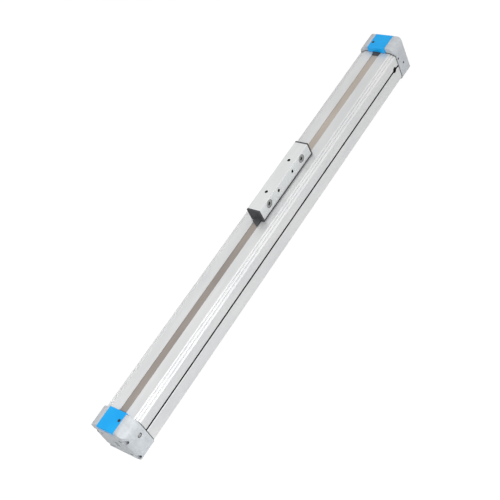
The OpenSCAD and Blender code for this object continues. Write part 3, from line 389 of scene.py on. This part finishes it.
def make_materials():
    """One material for each slot of the record."""
    return {
        "barrel_alloy": drawn_material(
            "barrel_alloy", 0.45,
            (linear(206, 207, 208), linear(216, 216, 216), linear(234, 234, 234)),
            (0.34, 0.5), (0.02 * MM, 0.25 * MM), 5.0, shaded_slots=True),
        "cap_alloy": blasted_material(
            "cap_alloy", 0.1,
            (linear(188, 192, 196), linear(206, 210, 214), linear(232, 235, 237)),
            (0.42, 0.6), (0.05 * MM, 0.5 * MM), 4.0, cloudiness=170.0, depth=11 * MM),
        "carriage_alloy": drawn_material(
            "carriage_alloy", 0.45,
            (linear(215, 217, 217), linear(225, 227, 227), linear(240, 240, 240)),
            (0.3, 0.42), (0.015 * MM, 0.35 * MM), 5.0, fineness=1400.0, shade=(0.8, 0.5)),
        "band_strip": drawn_material(
            "band_strip", 0.35,
            # The band's edge colour is darker than its body: painted shade along its rounded
            # edges.
            (linear(138, 129, 123), linear(156, 147, 140), linear(116, 106, 99)),
            (0.35, 0.5), (0.01 * MM, 0.2 * MM), 5.0, fineness=700.0,
            # Brighter colours for the band's painted reflection.
            sheen_colours=(linear(172, 162, 152), linear(188, 178, 168))),
        "bare_steel": drawn_material(
            "bare_steel", 0.95,
            (linear(188, 188, 187), linear(206, 206, 205), linear(232, 232, 231)),
            (0.22, 0.4), (0.01 * MM, 0.2 * MM), 4.0),
        "dark_steel": blasted_material(
            "dark_steel", 0.7,
            (linear(52, 52, 54), linear(70, 70, 72), linear(120, 118, 116)),
            (0.35, 0.5), (0.01 * MM, 0.25 * MM), 4.0),
        "grey_steel": blasted_material(
            "grey_steel", 0.6,
            (linear(140, 141, 141), linear(164, 165, 165), linear(206, 206, 205)),
            (0.3, 0.45), (0.01 * MM, 0.25 * MM), 4.0, depth=5 * MM, shade=(0.85, 0.45)),
        "blue_plastic": blasted_material(
            "blue_plastic", 0.0,
            (linear(16, 171, 250), linear(28, 183, 254), linear(72, 200, 254)),
            (0.28, 0.4), (0.015 * MM, 0.4 * MM), 3.0, fineness=1500.0,
            extra=(("Specular IOR Level", 0.25),)),
        "black_plastic": blasted_material(
            "black_plastic", 0.0,
            (linear(44, 45, 48), linear(62, 63, 66), linear(104, 105, 108)),
            (0.5, 0.7), (0.08 * MM, 0.35 * MM), 4.0, fineness=1300.0),
        "dark_plastic": blasted_material(
            "dark_plastic", 0.0,
            (linear(66, 67, 69), linear(84, 85, 87), linear(120, 120, 121)),
            (0.45, 0.6), (0.03 * MM, 0.3 * MM), 3.0),
        "piston_plastic": blasted_material(
            "piston_plastic", 0.0,
            (linear(214, 206, 184), linear(226, 219, 199), linear(240, 235, 220)),
            (0.35, 0.5), (0.02 * MM, 0.3 * MM), 3.0),
        "ring_plastic": blasted_material(
            "ring_plastic", 0.0,
            (linear(112, 76, 48), linear(134, 92, 60), linear(160, 120, 86)),
            (0.4, 0.55), (0.02 * MM, 0.2 * MM), 3.0),
        "roller_plastic": blasted_material(
            "roller_plastic", 0.0,
            (linear(222, 221, 216), linear(234, 233, 228), linear(244, 244, 240)),
            (0.3, 0.45), (0.01 * MM, 0.2 * MM), 3.0),
        "black_rubber": blasted_material(
            "black_rubber", 0.0,
            (linear(38, 38, 38), linear(54, 54, 54), linear(84, 84, 83)),
            (0.6, 0.8), (0.04 * MM, 0.2 * MM), 3.0),
        "brass_parts": drawn_material(
            "brass_parts", 0.95,
            (linear(196, 160, 96), linear(212, 178, 116), linear(232, 206, 156)),
            (0.22, 0.38), (0.01 * MM, 0.2 * MM), 4.0),
        "magnet_black": blasted_material(
            "magnet_black", 0.3,
            (linear(58, 58, 60), linear(76, 76, 78), linear(110, 110, 112)),
            (0.4, 0.6), (0.02 * MM, 0.2 * MM), 3.0),
    }


MATERIALS = make_materials()
SLOT_OF = {row["node"]: row["material_slot"] for row in frame["record"]["subparts"]}


def paint(piece, slot):
    piece.data.materials.clear()
    piece.data.materials.append(MATERIALS[slot])


for name, node in nodes.items():
    for index in range(len(node.material_slots)):
        node.material_slots[index].material = MATERIALS[SLOT_OF[name]]

# ---------------------------------------------------------------- bands

MERGE_DISTANCE = 0.002 * MM
FLAT_ANGLE = math.radians(0.5)
ROUND_SEGMENTS = 3


def deselect_all():
    for item in bpy.context.selected_objects:
        item.select_set(False)


def merged_copy(node_name, piece_name):
    """A copy of a CAD node with its doubles merged and its flat faces made whole."""
    deselect_all()
    piece = nodes[node_name].copy()
    piece.data = nodes[node_name].data.copy()
    piece.name = piece_name
    piece.parent = None
    for key in [key for key in piece.keys() if key.startswith("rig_")]:
        del piece[key]
    bpy.context.scene.collection.objects.link(piece)
    piece.hide_render = piece.hide_viewport = False
    piece.select_set(True)
    bpy.context.view_layer.objects.active = piece
    bpy.ops.object.mode_set(mode="EDIT")
    bpy.ops.mesh.select_all(action="SELECT")
    bpy.ops.mesh.remove_doubles(threshold=MERGE_DISTANCE)
    bpy.ops.mesh.dissolve_limited(angle_limit=FLAT_ANGLE)
    bpy.ops.object.mode_set(mode="OBJECT")
    piece.data.validate()
    return piece


def kept_between(piece, low_x, high_x):
    """Cuts a piece off square at two stations along X and closes both cuts."""
    deselect_all()
    piece.select_set(True)
    bpy.context.view_layer.objects.active = piece
    bpy.ops.object.mode_set(mode="EDIT")
    for place, sign in ((low_x, -1), (high_x, 1)):
        bpy.ops.mesh.select_all(action="SELECT")
        bpy.ops.mesh.bisect(plane_co=(place, 0, 0), plane_no=(sign, 0, 0), clear_outer=True,
                            use_fill=True)
    bpy.ops.object.mode_set(mode="OBJECT")


def lying_band(name, node_name, slot, clamped_x, wave_x, low_z, high_z, edge_round):
    """The band where it lies in the barrel, from its clamp to the wave in the carriage.

    Its clamped end stays with the barrel.
    """
    low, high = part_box(node_name)
    length = abs(wave_x - clamped_x)
    deselect_all()
    bpy.ops.mesh.primitive_cube_add(
        size=1, location=((clamped_x + wave_x) / 2, 0, (low_z + high_z) / 2),
        scale=(length, high.y - low.y, high_z - low_z))
    piece = bpy.context.active_object
    piece.name = name
    bpy.ops.object.transform_apply(location=True, rotation=True, scale=True)
    bpy.ops.object.mode_set(mode="EDIT")
    bpy.ops.mesh.select_all(action="DESELECT")
    bpy.ops.object.mode_set(mode="OBJECT")
    for edge in piece.data.edges:
        ends = [piece.data.vertices[index].co for index in edge.vertices]
        edge.select = abs(ends[0].x - ends[1].x) > length / 2 and ends[0].z > low_z
    bpy.ops.object.mode_set(mode="EDIT")
    bpy.ops.mesh.select_mode(type="EDGE")
    bpy.ops.mesh.bevel(offset=edge_round, segments=ROUND_SEGMENTS)
    bpy.ops.object.mode_set(mode="OBJECT")
    paint(piece, slot)
    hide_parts(node_name)
    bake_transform(piece)


def both_lying_bands(name, node_name, slot, low_z, high_z, edge_round):
    """The band before and behind the carriage."""
    low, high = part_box(node_name)
    for side, clamped_x, sign in (("left", low.x, -1), ("right", high.x, 1)):
        lying_band(f"{name}_{side}", node_name, slot, clamped_x, carriage_x + sign * WAVE_REACH,
                   low_z, high_z, edge_round)


def lifted_band(name, node_name, slot, middle, reach):
    """The wave of a band that travels inside the carriage."""
    piece = merged_copy(node_name, name)
    kept_between(piece, middle - reach, middle + reach)
    paint(piece, slot)
    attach(piece, "slider")
    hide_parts(node_name)


WAVE_REACH = 49 * MM
BAND_THICK = 1.0 * MM
SEAL_THICK = 0.8 * MM
BAND_EDGE, SEAL_EDGE = 0.3 * MM, 0.2 * MM

block_low, block_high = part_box("carriage")
carriage_x = (block_low.x + block_high.x) / 2
band_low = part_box("outer_band")[0]
seal_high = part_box("inner_band")[1]
both_lying_bands("dust_band", "outer_band", "band_strip", band_low.z, band_low.z + BAND_THICK,
                 BAND_EDGE)
lifted_band("dust_band_wave", "outer_band", "band_strip", carriage_x, WAVE_REACH)
both_lying_bands("seal_band", "inner_band", "bare_steel", seal_high.z - SEAL_THICK,
                 seal_high.z, SEAL_EDGE)
lifted_band("seal_band_wave", "inner_band", "bare_steel", carriage_x, WAVE_REACH)

# ---------------------------------------------------------------- small pieces


def rounded_box(name, slot, low, high, edge_round):
    """A box between two corners with every edge rounded."""
    deselect_all()
    size = high - low
    bpy.ops.mesh.primitive_cube_add(size=1, location=(low + high) / 2, scale=size)
    piece = bpy.context.active_object
    piece.name = name
    bpy.ops.object.transform_apply(location=True, rotation=True, scale=True)
    bpy.ops.object.mode_set(mode="EDIT")
    bpy.ops.mesh.select_all(action="SELECT")
    bpy.ops.mesh.bevel(offset=edge_round, segments=ROUND_SEGMENTS)
    bpy.ops.object.mode_set(mode="OBJECT")
    paint(piece, slot)
    return piece


# Painted shade: a dark pad on the band in front of the far clamp stands in for the shade under
# the far band cover's lip.
SHADE_PAD_REACH, SHADE_PAD_OVERLAP = 4.2 * MM, 0.5 * MM
SHADE_PAD_HALF_WIDTH = 5.6 * MM
SHADE_PAD_GAP, SHADE_PAD_HEIGHT = 0.05 * MM, 1.5 * MM
SHADE_PAD_EDGE = 0.4 * MM

clamp_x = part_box("band_clamp_right")[0].x
strip_top = band_low.z + BAND_THICK
shade_pad_start = Vector((clamp_x - SHADE_PAD_REACH, -SHADE_PAD_HALF_WIDTH, strip_top + SHADE_PAD_GAP))
shade_pad_end = Vector((clamp_x + SHADE_PAD_OVERLAP, SHADE_PAD_HALF_WIDTH, strip_top + SHADE_PAD_HEIGHT))
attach(rounded_box("painted_shade_pad", SLOT_OF["band_clamp_right"], shade_pad_start, shade_pad_end, SHADE_PAD_EDGE),
        "housing")

# ---------------------------------------------------------------- studio

FLOOR_SIZE = 8
FLOOR_PAINT = 0.9
FLOOR_GLOW = 1.07
GLOW_SHARE = 0.9
SKY_STRENGTH = 0.22
WHITE = (1, 1, 1, 1)
LAMPS = (
    # name, place, size, power, tint
    ("key_softbox", (-0.52, -1.05, 0.7), (0.6, 0.6), 10, (0.965, 0.985, 1.0)),
    ("top_softbox", (0, 0, 1.9), (1.4, 1.0), 12.6, (1.0, 1.0, 1.0)),
    ("back_softbox", (-0.3, 0.4, 1.5), (1.0, 0.8), 1.5, (1.0, 0.99, 0.97)),
    ("rim_softbox", (0.2, 1.4, 0.35), (1.0, 0.4), 2, (1.0, 1.0, 1.0)),
    ("far_softbox", (1.3, -0.5, 1.1), (1.0, 0.8), 1.7, (1.0, 0.95, 0.88)),
)


def seen_directly(tree):
    """1 for rays that show the background: straight to the camera, mirrored or through glass."""
    path = tree.nodes.new("ShaderNodeLightPath")
    mirrored = math_node(tree, "MAXIMUM", path.outputs["Is Camera Ray"],
                         path.outputs["Is Glossy Ray"])
    return math_node(tree, "MAXIMUM", mirrored, path.outputs["Is Transmission Ray"])


def make_floor():
    """A pale floor that is white to the camera and still keeps the object's shadow."""
    deselect_all()
    bpy.ops.mesh.primitive_plane_add(size=FLOOR_SIZE, location=(0, 0, 0))
    floor = bpy.context.active_object
    floor.name = "studio_floor"
    material = bpy.data.materials.new("studio_white")
    material.use_nodes = True
    tree = material.node_tree
    tree.nodes.clear()
    diffuse = tree.nodes.new("ShaderNodeBsdfDiffuse")
    diffuse.inputs["Color"].default_value = (FLOOR_PAINT, FLOOR_PAINT, FLOOR_PAINT, 1)
    glow = tree.nodes.new("ShaderNodeEmission")
    glow.inputs["Color"].default_value = WHITE
    glow.inputs["Strength"].default_value = FLOOR_GLOW
    share = math_node(tree, "MULTIPLY", seen_directly(tree), GLOW_SHARE)
    mix = tree.nodes.new("ShaderNodeMixShader")
    output = tree.nodes.new("ShaderNodeOutputMaterial")
    tree.links.new(share, mix.inputs[0])
    tree.links.new(diffuse.outputs[0], mix.inputs[1])
    tree.links.new(glow.outputs[0], mix.inputs[2])
    tree.links.new(mix.outputs[0], output.inputs["Surface"])
    floor.data.materials.append(material)


def make_world():
    world = bpy.data.worlds.new("studio_world")
    world.use_nodes = True
    tree = world.node_tree
    tree.nodes.clear()
    soft = tree.nodes.new("ShaderNodeBackground")
    soft.inputs["Color"].default_value = WHITE
    soft.inputs["Strength"].default_value = SKY_STRENGTH
    white = tree.nodes.new("ShaderNodeBackground")
    white.inputs["Color"].default_value = WHITE
    mix = tree.nodes.new("ShaderNodeMixShader")
    output = tree.nodes.new("ShaderNodeOutputWorld")
    tree.links.new(seen_directly(tree), mix.inputs[0])
    tree.links.new(soft.outputs[0], mix.inputs[1])
    tree.links.new(white.outputs[0], mix.inputs[2])
    tree.links.new(mix.outputs[0], output.inputs["Surface"])
    bpy.context.scene.world = world


def make_lamp(name, place, size, power, tint):
    data = bpy.data.lights.new(name, "AREA")
    data.color = tint
    data.shape = "RECTANGLE"
    data.size, data.size_y = size
    data.energy = power
    lamp = bpy.data.objects.new(name, data)
    bpy.context.scene.collection.objects.link(lamp)
    lamp.location = place
    lamp.rotation_mode = "QUATERNION"
    lamp.rotation_quaternion = (-Vector(place)).to_track_quat("-Z", "Y")


make_floor()
make_world()
for lamp_row in LAMPS:
    make_lamp(*lamp_row)

bpy.context.scene.view_settings.view_transform = "Standard"
